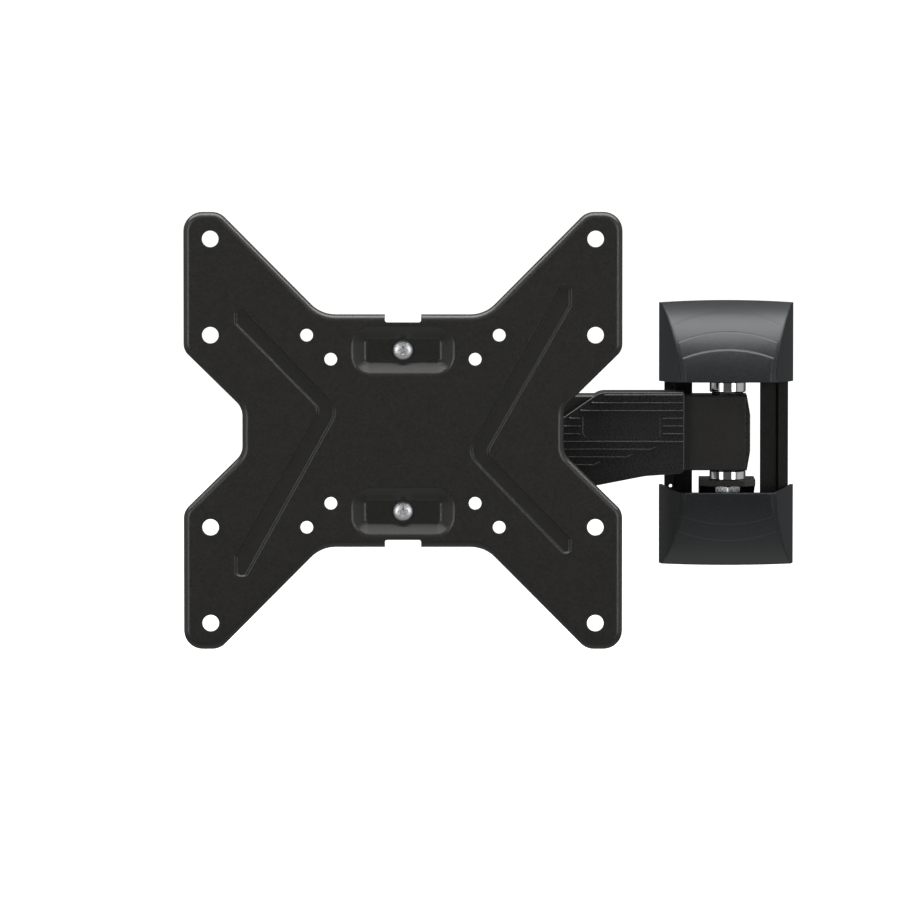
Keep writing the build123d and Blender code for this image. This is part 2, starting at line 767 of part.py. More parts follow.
# ------------------------------------------------------------------ screen plate
quarter_outline = [
    (shoulder_x, shoulder_z),
    (tab_inner_x, plate_half_height),
    (plate_half_width, plate_half_height),
    (plate_half_width, side_tab_z),
    (waist_x, waist_z),
]
quarter_radii = [shoulder_radius, tab_radius, tab_radius, side_tab_radius, waist_radius]
mirrored_outline = [(x, -z) for x, z in reversed(quarter_outline)]
right_outline = quarter_outline + mirrored_outline
right_radii = quarter_radii + quarter_radii[::-1]
plate_outline = right_outline + [(-x, z) for x, z in reversed(right_outline)]
plate_radii = right_radii + right_radii[::-1]


def limb_end(angle, apex_x):
    """Height above its apex at which a limb of this slope meets the band's cut-off end."""
    return (band_end_x - apex_x) * tan(radians(angle))


band_outline = [
    (-band_outer_x, band_apex_z),
    (-band_end_x, band_apex_z + limb_end(upper_limb_angle, band_outer_x)),
    (-band_end_x, band_apex_z + limb_end(upper_limb_angle, band_inner_x)),
    (-band_inner_x, band_apex_z),
    (-band_end_x, band_apex_z - limb_end(lower_limb_angle, band_inner_x)),
    (-band_end_x, -band_low_z),
    (-band_end_x + band_foot, -band_low_z),
]


def band_sketch(depth, grow):
    """Both V bands at this depth, grown by grow all round: the second is the first turned."""
    with BuildSketch(facing(head_x, depth, plate_z)) as sketch:
        for turn in (0, 180):
            points = [Vector(x, z).rotate(Axis.Z, turn) for x, z in band_outline]
            with BuildLine():
                FilletPolyline(*points, radius=band_radii, close=True)
            make_face()
        if grow:
            offset(amount=grow)
    return sketch.sketch


def pocket_solid(mouth_depth, floor_depth, grow):
    """Both pockets as tapered blocks from mouth to floor, grown by grow all round."""
    with BuildPart() as block:
        for z in (plate_z + plate_bolt_z, plate_z - plate_bolt_z):
            ends = ((mouth_depth, pocket_mouth), (floor_depth, pocket_floor))
            for depth, (width, height, radius) in ends:
                with BuildSketch(facing(head_x, depth, z)):
                    RectangleRounded(width + 2 * grow, height + 2 * grow, radius + grow)
            loft()
    return block.part


pocket_outside = pocket_solid(plate_back_depth, pocket_floor_depth - plate_sheet, plate_sheet)
pocket_inside = pocket_solid(plate_depth, pocket_floor_depth, 0)
band_inside = band_sketch(plate_depth, 0)
band_outside = band_sketch(plate_back_depth, band_depth)

with BuildPart() as vesa_plate:
    with BuildSketch(facing(head_x, plate_depth - plate_flange, plate_z)):
        with BuildLine():
            FilletPolyline(*plate_outline, radius=plate_radii, close=True)
        make_face()
    extrude(amount=plate_flange)
    fillet(vesa_plate.faces().sort_by(Axis.Y)[0].edges(), plate_rim)
    with BuildSketch(facing(head_x, plate_depth - plate_flange, plate_z)):
        with BuildLine():
            FilletPolyline(*plate_outline, radius=plate_radii, close=True)
        make_face()
        offset(amount=-plate_sheet)
    extrude(amount=plate_flange - plate_sheet, mode=Mode.SUBTRACT)
    add(pocket_outside)
    extrude(band_outside, amount=-band_depth)
    add(pocket_inside, mode=Mode.SUBTRACT)
    extrude(band_inside, amount=-band_depth, mode=Mode.SUBTRACT)
    with BuildSketch(facing(head_x, plate_depth - plate_flange, plate_z)):
        with GridLocations(0, 2 * shoulder_z, 1, 2):
            Rectangle(notch_width, 2 * notch_depth)
        with GridLocations(vesa_large, vesa_large, 2, 2):
            Circle(m8_hole_radius)
        with GridLocations(vesa_large, vesa_medium, 2, 2):
            Circle(m8_hole_radius)
        with GridLocations(vesa_medium, vesa_medium, 2, 2):
            Circle(m4_hole_radius)
        with GridLocations(vesa_small, vesa_small, 2, 2):
            Circle(m4_hole_radius)
        with GridLocations(0, 2 * plate_bolt_z, 1, 2):
            Circle(plate_bolt_radius + gap)
    extrude(amount=plate_flange, mode=Mode.SUBTRACT)
vesa_plate.part.label = "vesa_plate"
export_step(vesa_plate.part, "parts/vesa_plate.step")

# ------------------------------------------------------------------ screen plate bolts
plate_bolt_places = [plate_z + plate_bolt_z, plate_z - plate_bolt_z]
washer_m5_depth = tilt_plate_back - washer_m5
nut_m5_depth = washer_m5_depth - nut_m5
bolt_m5_end = nut_m5_depth - thread_end / 2

with BuildPart() as plate_bolts:
    for z in plate_bolt_places:
        with BuildSketch(facing(head_x, bolt_m5_end, z)):
            Circle(plate_bolt_radius)
        extrude(amount=pocket_floor_depth - bolt_m5_end)
        with BuildSketch(facing(head_x, pocket_floor_depth, z)):
            Circle(pan_head_radius)
        extrude(amount=pan_head)
    tops = plate_bolts.edges().filter_by(GeomType.CIRCLE).group_by(Axis.Y)[0]
    fillet(tops, pan_round)
    for z in plate_bolt_places:
        with BuildSketch(facing(head_x, pocket_floor_depth + pan_head, z)):
            Rectangle(cross_length, cross_width)
            Rectangle(cross_width, cross_length)
        extrude(amount=-cross_depth, mode=Mode.SUBTRACT)
plate_bolts.part.label = "plate_bolts"
export_step(plate_bolts.part, "parts/plate_bolts.step")

with BuildPart() as plate_washers:
    for z in plate_bolt_places:
        washer_plane = facing(head_x, washer_m5_depth, z)
        add(ring(washer_plane, washer_m5_radius, plate_bolt_radius + gap, washer_m5))
plate_washers.part.label = "plate_washers"
export_step(plate_washers.part, "parts/plate_washers.step")

with BuildPart() as plate_nuts:
    for z in plate_bolt_places:
        add(hex_nut(facing(head_x, nut_m5_depth, z), hex_m5, nut_m5, plate_bolt_radius))
plate_nuts.part.label = "plate_nuts"
export_step(plate_nuts.part, "parts/plate_nuts.step")
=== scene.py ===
# %% [markdown]
# # A full motion television wall mount
# The mount has a wall plate with two plastic covers, one steel arm with a ribbed cable cover, and
# a pressed steel plate that the screen bolts to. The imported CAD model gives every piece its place,
# its size and its joint, so this script loads it first and then builds the finished surfaces.

import bmesh
import bpy
import numpy as np
from mathutils import Matrix, Vector
from mathutils.geometry import delaunay_2d_cdt


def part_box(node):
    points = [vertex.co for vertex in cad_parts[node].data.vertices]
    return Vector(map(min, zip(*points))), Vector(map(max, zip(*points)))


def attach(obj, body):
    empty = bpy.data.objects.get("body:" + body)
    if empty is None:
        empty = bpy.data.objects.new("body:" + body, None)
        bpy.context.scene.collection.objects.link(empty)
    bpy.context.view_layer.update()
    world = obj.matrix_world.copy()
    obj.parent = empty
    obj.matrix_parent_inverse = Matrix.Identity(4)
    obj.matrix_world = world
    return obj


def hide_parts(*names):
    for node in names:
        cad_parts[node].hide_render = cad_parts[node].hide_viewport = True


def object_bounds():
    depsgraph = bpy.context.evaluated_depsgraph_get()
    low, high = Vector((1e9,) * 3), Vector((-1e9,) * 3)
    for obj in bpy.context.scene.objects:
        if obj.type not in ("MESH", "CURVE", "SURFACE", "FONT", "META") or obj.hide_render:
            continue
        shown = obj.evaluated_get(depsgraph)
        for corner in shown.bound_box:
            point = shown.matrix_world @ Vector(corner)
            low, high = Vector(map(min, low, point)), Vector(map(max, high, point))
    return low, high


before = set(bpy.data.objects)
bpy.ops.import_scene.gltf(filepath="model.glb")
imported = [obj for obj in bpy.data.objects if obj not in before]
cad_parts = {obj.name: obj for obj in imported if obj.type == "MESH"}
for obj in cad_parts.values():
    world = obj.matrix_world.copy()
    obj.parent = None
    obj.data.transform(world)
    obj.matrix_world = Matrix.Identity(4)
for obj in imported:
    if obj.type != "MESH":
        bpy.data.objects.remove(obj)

MM = 0.001
cad_box = [list(corner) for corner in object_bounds()]
low, high = {}, {}
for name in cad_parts:
    low[name], high[name] = (np.array(corner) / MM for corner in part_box(name))
print("CAD box in metres", cad_box)

# %% [markdown]
# ## From arrays to meshes
# Every new surface here is a grid of points, worked out as one array in millimetres: rows of
# points along one direction, columns along the other. Placing vertices by hand in edit mode would
# also do, but a formula stays exact and is easy to change. A grid becomes quads by pairing each
# row with the next one, and a flat face with holes is filled by a constrained triangulation.

# %% Grids, flat faces and mesh objects


def grid(points, closed=True):
    """A surface through rows of points, rows by columns by 3. Closed joins each row into a ring."""
    rows, columns = points.shape[:2]
    index = np.arange(rows * columns).reshape(rows, columns)
    after = np.roll(index, -1, 1)
    if not closed:
        index, after = index[:, :-1], after[:, :-1]
    quads = np.stack([index[:-1], after[:-1], after[1:], index[1:]], -1).reshape(-1, 4)
    return points.reshape(-1, 3), quads.tolist()


def slab(front, back):
    """A closed sheet: two open grids of the same size, with their four borders joined."""
    border = [np.stack([front[i], back[i]]) for i in (0, -1)]
    border += [np.stack([front[:, i], back[:, i]]) for i in (0, -1)]
    return [grid(part, closed=False) for part in (front, back, *border)]


def flat_face(loops, y):
    """A flat face across Y, inside the first loop of (x, z) points and outside the others. A
    triangle stays if a ray from its middle crosses the loops an odd number of times."""
    edges, start = [], 0
    for loop in loops:
        turn = np.arange(len(loop))
        edges += (start + np.stack([turn, np.roll(turn, -1)], -1)).tolist()
        start += len(loop)
    flat = [Vector(point) for point in np.concatenate(loops)]
    tolerance = 1e-6
    points, _, faces, *_ = delaunay_2d_cdt(flat, edges, [], 0, tolerance)
    points = np.array(points)
    middle = points[np.array(faces)].mean(1)[:, None]
    a = np.concatenate(loops)[None]
    b = np.concatenate([np.roll(loop, -1, 0) for loop in loops])[None]
    spans = (a[..., 1] > middle[..., 1]) != (b[..., 1] > middle[..., 1])
    rise = np.where(spans, b[..., 1] - a[..., 1], 1)
    crossing = a[..., 0] + (middle[..., 1] - a[..., 1]) * (b[..., 0] - a[..., 0]) / rise
    inside = (spans & (middle[..., 0] < crossing)).sum(1) % 2 == 1
    kept = [list(face) for face, keep in zip(faces, inside) if keep]
    return np.insert(points, 1, y, 1), kept


def solid(name, surfaces, weld=0.003):
    """A mesh object from surfaces in millimetres. Points closer than weld are merged, any hole
    left where slim faces fell together is filled, and the faces are turned outwards."""
    points, faces, start = [], [], 0
    for part_points, part_faces in surfaces:
        points.append(part_points)
        faces += [[start + i for i in face] for face in part_faces]
        start += len(part_points)
    mesh = bpy.data.meshes.new(name)
    mesh.from_pydata((np.concatenate(points) * MM).tolist(), [], faces)
    shape = bmesh.new()
    shape.from_mesh(mesh)
    bmesh.ops.remove_doubles(shape, verts=shape.verts, dist=weld * MM)
    bmesh.ops.dissolve_degenerate(shape, edges=shape.edges, dist=weld * MM)
    loose = [v for v in shape.verts if not v.link_faces]
    bmesh.ops.delete(shape, geom=loose, context="VERTS")
    bmesh.ops.holes_fill(shape, edges=[edge for edge in shape.edges if edge.is_boundary])
    bmesh.ops.recalc_face_normals(shape, faces=shape.faces)
    holes = sum(edge.is_boundary for edge in shape.edges)
    shape.to_mesh(mesh)
    shape.free()
    mesh.shade_smooth()
    piece = bpy.data.objects.new(name, mesh)
    bpy.context.scene.collection.objects.link(piece)
    print(name, len(mesh.polygons), "faces,", holes, "open edges")
    return piece


def cut(piece, cutter):
    """Takes the cutter's solid away from the piece and keeps the result as its mesh."""
    modifier = piece.modifiers.new("cut", "BOOLEAN")
    modifier.object = cutter
    modifier.solver = "EXACT"
    evaluated = piece.evaluated_get(bpy.context.evaluated_depsgraph_get())
    piece.data = bpy.data.meshes.new_from_object(evaluated)
    piece.modifiers.clear()
    bpy.data.objects.remove(cutter)
    print(piece.name, "after the cut:", len(piece.data.polygons), "faces")


def prism(ring, near, far):
    """A ring of (x, z) points drawn out along Y between near and far, with both ends filled."""
    rows = np.stack([np.insert(ring, 1, y, 1) for y in (near, far)])
    return [grid(rows), flat_face([ring], near), flat_face([ring], far)]


def present(piece, body, slot, material, *nodes, bevel=0.0):
    """Puts a finished piece on its body in place of its CAD nodes. Sharp edges get a small bevel,
    and normals are weighted by face area, so flat faces stay flat beside rounded edges."""
    piece.data.materials.clear()
    piece.data.materials.append(material)
    soften(piece, bevel)
    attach(piece, body)
    if nodes:
        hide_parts(*nodes)


def soften(piece, bevel):
    """A two step bevel on edges that turn by more than 40 degrees, and area weighted normals."""
    if bevel:
        edge = piece.modifiers.new("edge", "BEVEL")
        edge.width = bevel * MM
        edge.segments = 2
        edge.limit_method = "ANGLE"
        edge.angle_limit = np.radians(40)
        edge.use_clamp_overlap = True
    piece.modifiers.new("flat_faces", "WEIGHTED_NORMAL").weight = 100


# %% [markdown]
# ## Outlines with rounded corners
# Pressed steel and moulded plastic never have sharp corners, so each outline is a list of corner
# points with a radius for each. To roll an edge over, the same outline is needed again a little
# smaller. Moving every side inwards by the same amount keeps each arc's centre in place, so two
# such outlines have matching points and a skin between them has no twist.

# %% Rounded outlines


def counter_clockwise(corners, radii):
    """The same outline, its corners in counter-clockwise order."""
    x, z = np.asarray(corners, float).T
    area = np.sum(x * np.roll(z, -1) - z * np.roll(x, -1))
    step = 1 if area > 0 else -1
    return np.stack([x, z], -1)[::step], np.asarray(radii, float)[::step]


def outline(corners, radii, inset=0.0, steps=9):
    """A closed outline moved inwards by inset. A corner moves by inset times the sum of its two
    side normals over one plus their dot product. Its arc starts a radius times the tangent of
    half its turn before the corner, and its radius shrinks by inset on a left turn and grows by
    inset on a right turn."""
    corner, radius = counter_clockwise(corners, radii)
    leaving = np.roll(corner, -1, 0) - corner
    leaving /= np.linalg.norm(leaving, axis=1)[:, None]
    arriving = np.roll(leaving, 1, 0)
    inward_in = np.stack([-arriving[:, 1], arriving[:, 0]], -1)
    inward_out = np.stack([-leaving[:, 1], leaving[:, 0]], -1)
    dot = np.sum(arriving * leaving, 1)
    turn = np.arctan2(np.sum(inward_in * leaving, 1), dot)
    side = np.sign(turn)
    moved = corner + inset * (inward_in + inward_out) / (1 + dot)[:, None]
    radius = np.maximum(radius - inset * side, 0.01)
    start = moved - arriving * (radius * np.tan(np.abs(turn) / 2))[:, None]
    angle = np.abs(turn)[:, None] * np.linspace(0, 1, steps)
    ahead = np.sin(angle)[..., None] * arriving[:, None]
    aside = (1 - np.cos(angle))[..., None] * (inward_in * side[:, None])[:, None]
    return (start[:, None] + radius[:, None, None] * (ahead + aside)).reshape(-1, 2)


def circle(x, z, radius, count=48):
    """Points round a circle."""
    angle = np.arange(count) * 2 * np.pi / count
    return np.stack([x + radius * np.cos(angle), z + radius * np.sin(angle)], -1)


def skin(loops, depths):
    """A surface through loops of (x, z) points, each at its own y."""
    return grid(np.stack([np.insert(loop, 1, y, 1) for loop, y in zip(loops, depths)]))


def soft_ramp(share, blend):
    """A ramp from 0 to 1 whose two corners are rounded by parabolas reaching blend each way."""
    rising = np.clip(share + blend, 0, 2 * blend) ** 2 / (4 * blend)
    straight = np.clip(share - blend, 0, 1 - 2 * blend)
    falling = np.clip(share - 1 + blend, 0, 2 * blend)
    return rising + straight + falling - falling**2 / (4 * blend)


def roll(radius, steps=7):
    """A quarter circle as (inset, rise) pairs, from a side face over to a flat face."""
    angle = np.linspace(0, np.pi / 2, steps)
    return radius * (1 - np.cos(angle)), radius * np.sin(angle)


print("a ramp's middle is", soft_ramp(np.array([0.5]), 0.1)[0])

# %% [markdown]
# ## Colours and nodes
# Paint colours are chosen on a screen, in sRGB, while the renderer adds light in linear values.
# One function turns a hex colour into linear light, and one adds a shader node with its settings
# and links, so a material reads as a short list.

# %% Colour and node helpers


def linear(hex_colour):
    """Each channel c is c / 12.92 when dark, otherwise (c + 0.055) / 1.055 to the power 2.4."""
    srgb = np.array([int(hex_colour[i:i + 2], 16) for i in (1, 3, 5)]) / 255
    light = np.where(srgb <= 0.04045, srgb / 12.92, ((srgb + 0.055) / 1.055) ** 2.4)
    return (*light.tolist(), 1.0)


def node(tree, kind, inputs=None, **settings):
    """Adds a node. Settings are its properties; inputs are values or sockets to link, by name."""
    new = tree.nodes.new(kind)
    for key, value in settings.items():
        setattr(new, key, value)
    for key, value in (inputs or {}).items():
        if isinstance(value, bpy.types.NodeSocket):
            tree.links.new(value, new.inputs[key])
        else:
            new.inputs[key].default_value = value
    return new


def grained(name, dark, light, grain, depth, rough, **shader):
    """A surface with a grain of the given size in millimetres. The grain, mixed with a little of
    a slower cloud, takes the colour from dark to light and the roughness from one value of rough
    to the other. The grain alone lifts the surface, by depth millimetres."""
    cloud_size, cloud_share = 9.0, 0.12
    noise_low, noise_high = 0.38, 0.62
    material = bpy.data.materials.new(name)
    material.use_nodes = True
    tree = material.node_tree
    tree.nodes.clear()
    place = node(tree, "ShaderNodeTexCoord").outputs["Object"]
    fine = node(tree, "ShaderNodeTexNoise",
                {"Vector": place, "Scale": 1 / (grain * MM), "Detail": 3.0}).outputs["Fac"]
    cloud = node(tree, "ShaderNodeTexNoise",
                 {"Vector": place, "Scale": 1 / (cloud_size * MM), "Detail": 2.0}).outputs["Fac"]
    both = node(tree, "ShaderNodeMix",
                {"Factor": cloud_share, "A": fine, "B": cloud}).outputs["Result"]
    tone = node(tree, "ShaderNodeValToRGB", {"Fac": both})
    ends = tone.color_ramp.elements
    ends[0].position, ends[0].color = noise_low, linear(dark)
    ends[1].position, ends[1].color = noise_high, linear(light)
    gloss = node(tree, "ShaderNodeMapRange",
                 {"Value": both, "From Min": noise_low, "From Max": noise_high,
                  "To Min": rough[0], "To Max": rough[1]})
    bump = node(tree, "ShaderNodeBump", {"Height": fine, "Distance": depth * MM})
    surface = node(tree, "ShaderNodeBsdfPrincipled",
                   {"Base Color": tone.outputs["Color"], "Roughness": gloss.outputs["Result"],
                    "Normal": bump.outputs["Normal"], **shader})
    node(tree, "ShaderNodeOutputMaterial", {"Surface": surface.outputs["BSDF"]})
    print("material", name)
    return material


# %% [markdown]
# ## Finishes
# Powder coat is sprayed on dry and baked, and it flows into a fine orange peel about half a
# millimetre across. It is drawn a little coarser than that, or it would be too fine to show. It
# gives the eye a satin black that lightens where the light grazes it.

# %% Powder coated steel
powder_coat = grained("powder_coated_steel", "#2d2c2b", "#333230", grain=0.8, depth=0.012,
                      rough=(0.28, 0.38), IOR=1.5)

# %% [markdown]
# ABS is moulded against steel that was spark eroded, which leaves a dense matt grain. The wall
# covers have a cooler grey and a finer grain than the arm's cover.

# %% Moulded ABS
cover_abs = grained("moulded_abs_fine", "#26282a", "#303234", grain=0.7, depth=0.02,
                    rough=(0.34, 0.42), IOR=1.53, **{"Specular IOR Level": 0.36})
guard_abs = grained("moulded_abs", "#262626", "#2d2d2d", grain=0.9, depth=0.03,
                    rough=(0.25, 0.34), IOR=1.53)

# %% [markdown]
# Bright chrome is a mirror: what shows in it is the room. Zinc plate is duller, slightly blue, and
# cloudy from its plating bath; the screen plate's screws have a paler, more matt zinc. Nylon
# washers are black with a waxy surface.

# %% Chrome, zinc and nylon
chrome = grained("chrome_plate", "#e4e4e6", "#eeeeee", grain=2.0, depth=0.0005,
                 rough=(0.03, 0.06), Metallic=1.0)
zinc = grained("zinc_plated_steel", "#b9bcc0", "#d6d8da", grain=0.6, depth=0.004,
               rough=(0.18, 0.3), Metallic=1.0)
nylon = grained("moulded_nylon", "#161616", "#1c1c1c", grain=0.8, depth=0.01,
                rough=(0.4, 0.5), IOR=1.53)
bright_zinc = grained("bright_zinc", "#e6e8ea", "#f6f7f8", grain=0.6, depth=0.002,
                      rough=(0.4, 0.5), Metallic=1.0)
finishes = {"black_steel": powder_coat, "black_abs": guard_abs, "chrome_spacer": chrome,
            "zinc_steel": zinc, "black_nylon": nylon}

# %% [markdown]
# ## The screen plate
# The plate is one sheet of 2 mm steel, pressed so that its edge rolls back all round. Two V-shaped
# bands and two pockets are pressed in to stiffen it and to sink the heads of its bolts. A box with
# a boolean for each feature would leave hard edges. Here the front and the back are both skins
# through outlines, so every pressed edge is a smooth curve, and the sheet keeps its thickness.

# %% Sizes of the screen plate
front_y = low["vesa_plate"][1]
flange_y = high["vesa_plate"][1]
plate_middle = (low["vesa_plate"] + high["vesa_plate"]) / 2
plate_half = (high["vesa_plate"] - low["vesa_plate"])[[0, 2]] / 2
sheet = 2.0
rim = 3.5
quarter = [(42.5, 60.5), (95.3, plate_half[1]), tuple(plate_half), (plate_half[0], 42.0),
           (83.5, 12.0)]
quarter_radii = [18.0, 9.75, 9.75, 8.0, 10.0]
right = quarter + [(x, -z) for x, z in quarter[::-1]]
plate_corners = right + [(-x, z) for x, z in right[::-1]]
plate_radii = 2 * (quarter_radii + quarter_radii[::-1])
band_corners = np.array([(-33.4, 11.4), (-87.0, 67.2), (-87.0, 56.0), (-43.3, 11.4),
                         (-87.0, -65.2), (-87.0, -75.5), (-81.7, -75.5)])
band_radii = [9.0, 2.5, 1.5, 4.5, 1.5, 2.5, 2.5]
band_depth = 1.2
band_wall = 0.9
band_mouth = 0.3
band_behind = 1.2
pocket_z = 42.0
pocket_mouth = ((52.8, 25.0), 10.0)
pocket_floor = ((39.4, 11.8), 2.0)
pocket_depth = 5.0
pocket_behind = 1.4
pocket_blend = 0.16
bolt_hole = 2.7
hole_edge = 0.35
square = np.array([(1, 1), (-1, 1), (-1, -1), (1, -1)])
screw_holes = ([(*corner * (100, 100), 4.3) for corner in square]
               + [(*corner * (100, 50), 4.3) for corner in square]
               + [(*corner * (50, 50), 3.3) for corner in square]
               + [(*corner * (37.5, 37.5), 3.3) for corner in square])
print("screen plate", 2 * plate_half, "mm, with", len(screw_holes), "holes")

# %% Pressed surfaces of the screen plate


def rectangle(size, radius, z, grow):
    """A rounded rectangle centred at height z, grown by grow all round."""
    return outline(square * np.array(size) / 2 + (0, z), [radius] * 4, -grow)


def pressed(y, behind):
    """One face of the sheet at y: its flat, bands and pockets. The face behind has them wider.
    A band's wall is band_wall wide where it is straight, and rounds over at both ends."""
    parts, gaps = [], []
    share = np.linspace(-0.5, 1.5, 11)
    insets = band_wall * share - band_mouth - band_behind * behind
    for turn in (1, -1):
        loops = [outline(band_corners * turn, band_radii, inset) for inset in insets]
        depths = y + band_depth * soft_ramp(share, 0.5)
        parts += [skin(loops, depths), flat_face(loops[-1:], depths[-1])]
        gaps.append(loops[0])
    near_mouth = np.array([-0.16, -0.1, -0.04, 0.04, 0.1, 0.16])
    share = np.concatenate([near_mouth, [0.5], 1 + near_mouth])
    for z in (pocket_z, -pocket_z):
        mouth = rectangle(*pocket_mouth, z, pocket_behind * behind)
        floor = rectangle(*pocket_floor, z, pocket_behind * behind)
        loops = [mouth + s * (floor - mouth) for s in share]
        depths = y + pocket_depth * soft_ramp(share, pocket_blend)
        hole = circle(0, z, bolt_hole)
        parts += [skin(loops, depths), flat_face([loops[-1], hole], depths[-1])]
        gaps.append(loops[0])
    gaps += [circle(x, z, radius + hole_edge) for x, z, radius in screw_holes]
    parts.append(flat_face([outline(plate_corners, plate_radii, rim), *gaps], y))
    return parts


back_y = front_y + sheet
roll_inset, roll_rise = roll(rim)
inner_inset, inner_rise = roll(rim - sheet)
lip = 0.3
rim_insets = np.concatenate([roll_inset[::-1], [0, lip, sheet - lip], sheet + inner_inset])
rim_depths = np.concatenate([front_y + rim - roll_rise[::-1], [flange_y - lip, flange_y, flange_y],
                             back_y + (rim - sheet) - inner_rise])
rim_insets = np.insert(rim_insets, -len(inner_inset), sheet)
rim_depths = np.insert(rim_depths, -len(inner_inset), flange_y - lip)
surfaces = pressed(front_y, 0) + pressed(back_y, 1)
surfaces.append(skin([outline(plate_corners, plate_radii, i) for i in rim_insets], rim_depths))
edge_grow = np.array([1, 0.3, 0, 0, 0.3, 1]) * hole_edge
edge_sink = np.array([0, 0.3, 1, 1, 0.3, 0]) * hole_edge
hole_depths = np.where(np.arange(6) < 3, front_y + edge_sink, back_y - edge_sink)
for x, z, radius in screw_holes:
    surfaces.append(skin([circle(x, z, radius + grow) for grow in edge_grow], hole_depths))
for z in (pocket_z, -pocket_z):
    surfaces.append(skin([circle(0, z, bolt_hole)] * 2, np.array([front_y, back_y]) + pocket_depth))
offset = (plate_middle[0], 0, plate_middle[2])
screen_plate = solid("screen_plate", [(points + offset, faces) for points, faces in surfaces])

# %% Notches in the screen plate's edge
notch_width, notch_depth, notch_radius = 18.8, 3.9, 1.2
beyond = 5.0
shoulder_z = quarter[0][1]
for side in (-1, 1):
    centre = plate_middle[[0, 2]] + (0, side * (shoulder_z - notch_depth + beyond))
    ring = outline(square * (notch_width / 2, beyond) + centre, [notch_radius] * 4)
    cut(screen_plate, solid("notch", prism(ring, front_y - beyond, flange_y + beyond)))
present(screen_plate, "plate", "black_steel", powder_coat, "vesa_plate", bevel=0.25)

# %% [markdown]
# ## The wall covers
# Each cover is a thin moulded shell that snaps over one end of the wall plate. Seen from above it
# is a trapezium with bulging sides, and its front leans back in one curve to a bowed edge. The
# lower zones of the front stand a little proud, and each ends in an arc. A subdivision cage could
# give the same form, but a section that changes with height puts each arc exactly in its place.
# The lower cover comes from the same mould, so it is the upper one mirrored.

# %% Sizes of the wall covers
cover_low = low["upper_wall_cover"][2]
cover_high = high["upper_wall_cover"][2]
cover_depth = -low["upper_wall_cover"][1]
cover_back = -high["upper_wall_cover"][1]
back_half_width = high["upper_wall_cover"][0]
front_half_width = 24.0
side_bulge = 1.15
top_bow = 1.2
arc_radius = 66.0
wall = 1.8
end_slant = 1.8
foot_edge = 0.5
arc_reach = 36.0
bow_radius = (back_half_width**2 + top_bow**2) / (2 * top_bow)
lean = np.array([(1.0, 0.0), (0.93, 0.6), (0.426, 0.926), (0.06, 1.0)])
shell_back = 2.0
layer_thick = 2.6
layer_side = 0.6
layer_top = 1.2
layers = np.array([(0.3, 1.7, 64.6, 0.2), (0.6, 1.0, 55.4, 1.2), (1.0, 0.0, 46.4, 1.2)])
share = np.linspace(0, 1, 200)[:, None]
lean_curve = ((1 - share)**3 * lean[0] + 3 * share * (1 - share)**2 * lean[1]
              + 3 * share**2 * (1 - share) * lean[2] + share**3 * lean[3])
print("cover", cover_depth, "mm deep and", cover_high - cover_low, "mm high")

# %% A cover's section carried up its front


def cover_sheet(inset, setback, crest, radius, reach, corner=1.0, edge=0.0, rows=22):
    """A sheet of the upper cover. A row is a section seen from above: half its front, a rounded
    corner, and a side running back by reach, then all of it mirrored. The side's half width falls
    in a line from wall to front plus a parabola. The front's depth is a cubic Bezier curve of
    height. The foot rolls under over a small quarter circle, and slants up towards the front. The
    top follows an arc under the crest, and rolls back over a quarter circle of radius edge, or
    where edge is 0 runs level to the back. Height and depth depend on each other, so both are
    worked out again until they settle."""
    fronts, turns, sides, passes = 18, 6, 10, 12
    foot_rows, top_rows = 4, 5
    most_round, thinnest = 0.8, 0.01
    climb = np.sin(np.linspace(0, np.pi / 2, rows))
    rise = np.concatenate([np.zeros(foot_rows), climb, np.ones(top_rows)])[:, None]
    rolled = np.linspace(0, 1, top_rows + 1)[1:]
    quarter = np.concatenate([np.zeros(foot_rows + rows), rolled])[:, None]
    under = np.linspace(1, 0, foot_rows + 1)
    foot = np.concatenate([under, np.zeros(rows + top_rows - 1)])[:, None] * np.pi / 2
    front, turn, side = (np.linspace(0, 1, n) for n in (fronts, turns, sides))
    blocks = np.array([np.concatenate([front, 0 * turn, 0 * side]),
                       np.concatenate([1 + 0 * front, 1 - turn, 0 * side]),
                       np.concatenate([0 * front, turn, 1 + 0 * side]),
                       np.concatenate([0 * front, 0 * turn, side])])
    x = np.linspace(0, back_half_width, blocks.shape[1])[None] + 0 * rise
    inner_end = cover_low
    for _ in range(passes):
        top = crest - (radius - np.sqrt(radius**2 - np.minimum(np.abs(x), arc_reach)**2)) - edge
        start = inner_end + foot_edge
        z = start + rise * (top - start) + edge * np.sin(quarter * np.pi / 2)
        z = z - foot_edge * np.sin(foot)
        leaning = np.interp((z - cover_low) / (cover_high - cover_low), lean_curve[:, 1],
                            lean_curve[:, 0])
        depth = leaning * (cover_depth - setback) - edge * (1 - np.cos(quarter * np.pi / 2))
        depth = depth - foot_edge * (1 - np.cos(foot))
        if not edge:
            depth = depth + (cover_back - depth) * quarter
        half = half_width(depth) - inset
        rounding = np.minimum(corner, most_round * np.maximum(depth - cover_back, thinnest))
        behind = np.maximum(depth - reach, cover_back)
        x = half - rounding * blocks[1] ** 2
        x[:, :fronts] = (blocks[0] * (half - rounding))[:, :fronts]
        y = depth - rounding * blocks[2] ** 2
        y = y + blocks[3] * (behind - depth + rounding)
        x[:, fronts + turns:] = (half_width(y) - inset)[:, fronts + turns:]
        inner_end = cover_low - end_slant * (1 - y / cover_depth)
    right = np.stack([x, -y, z], -1)
    return np.concatenate([(right * (-1, 1, 1))[:, :0:-1], right], 1)


def half_width(depth):
    """The cover's outer half width at a depth: a line from wall to front plus a parabola."""
    s = depth / cover_depth
    return back_half_width + (front_half_width - back_half_width) * s + 4 * side_bulge * s * (1 - s)


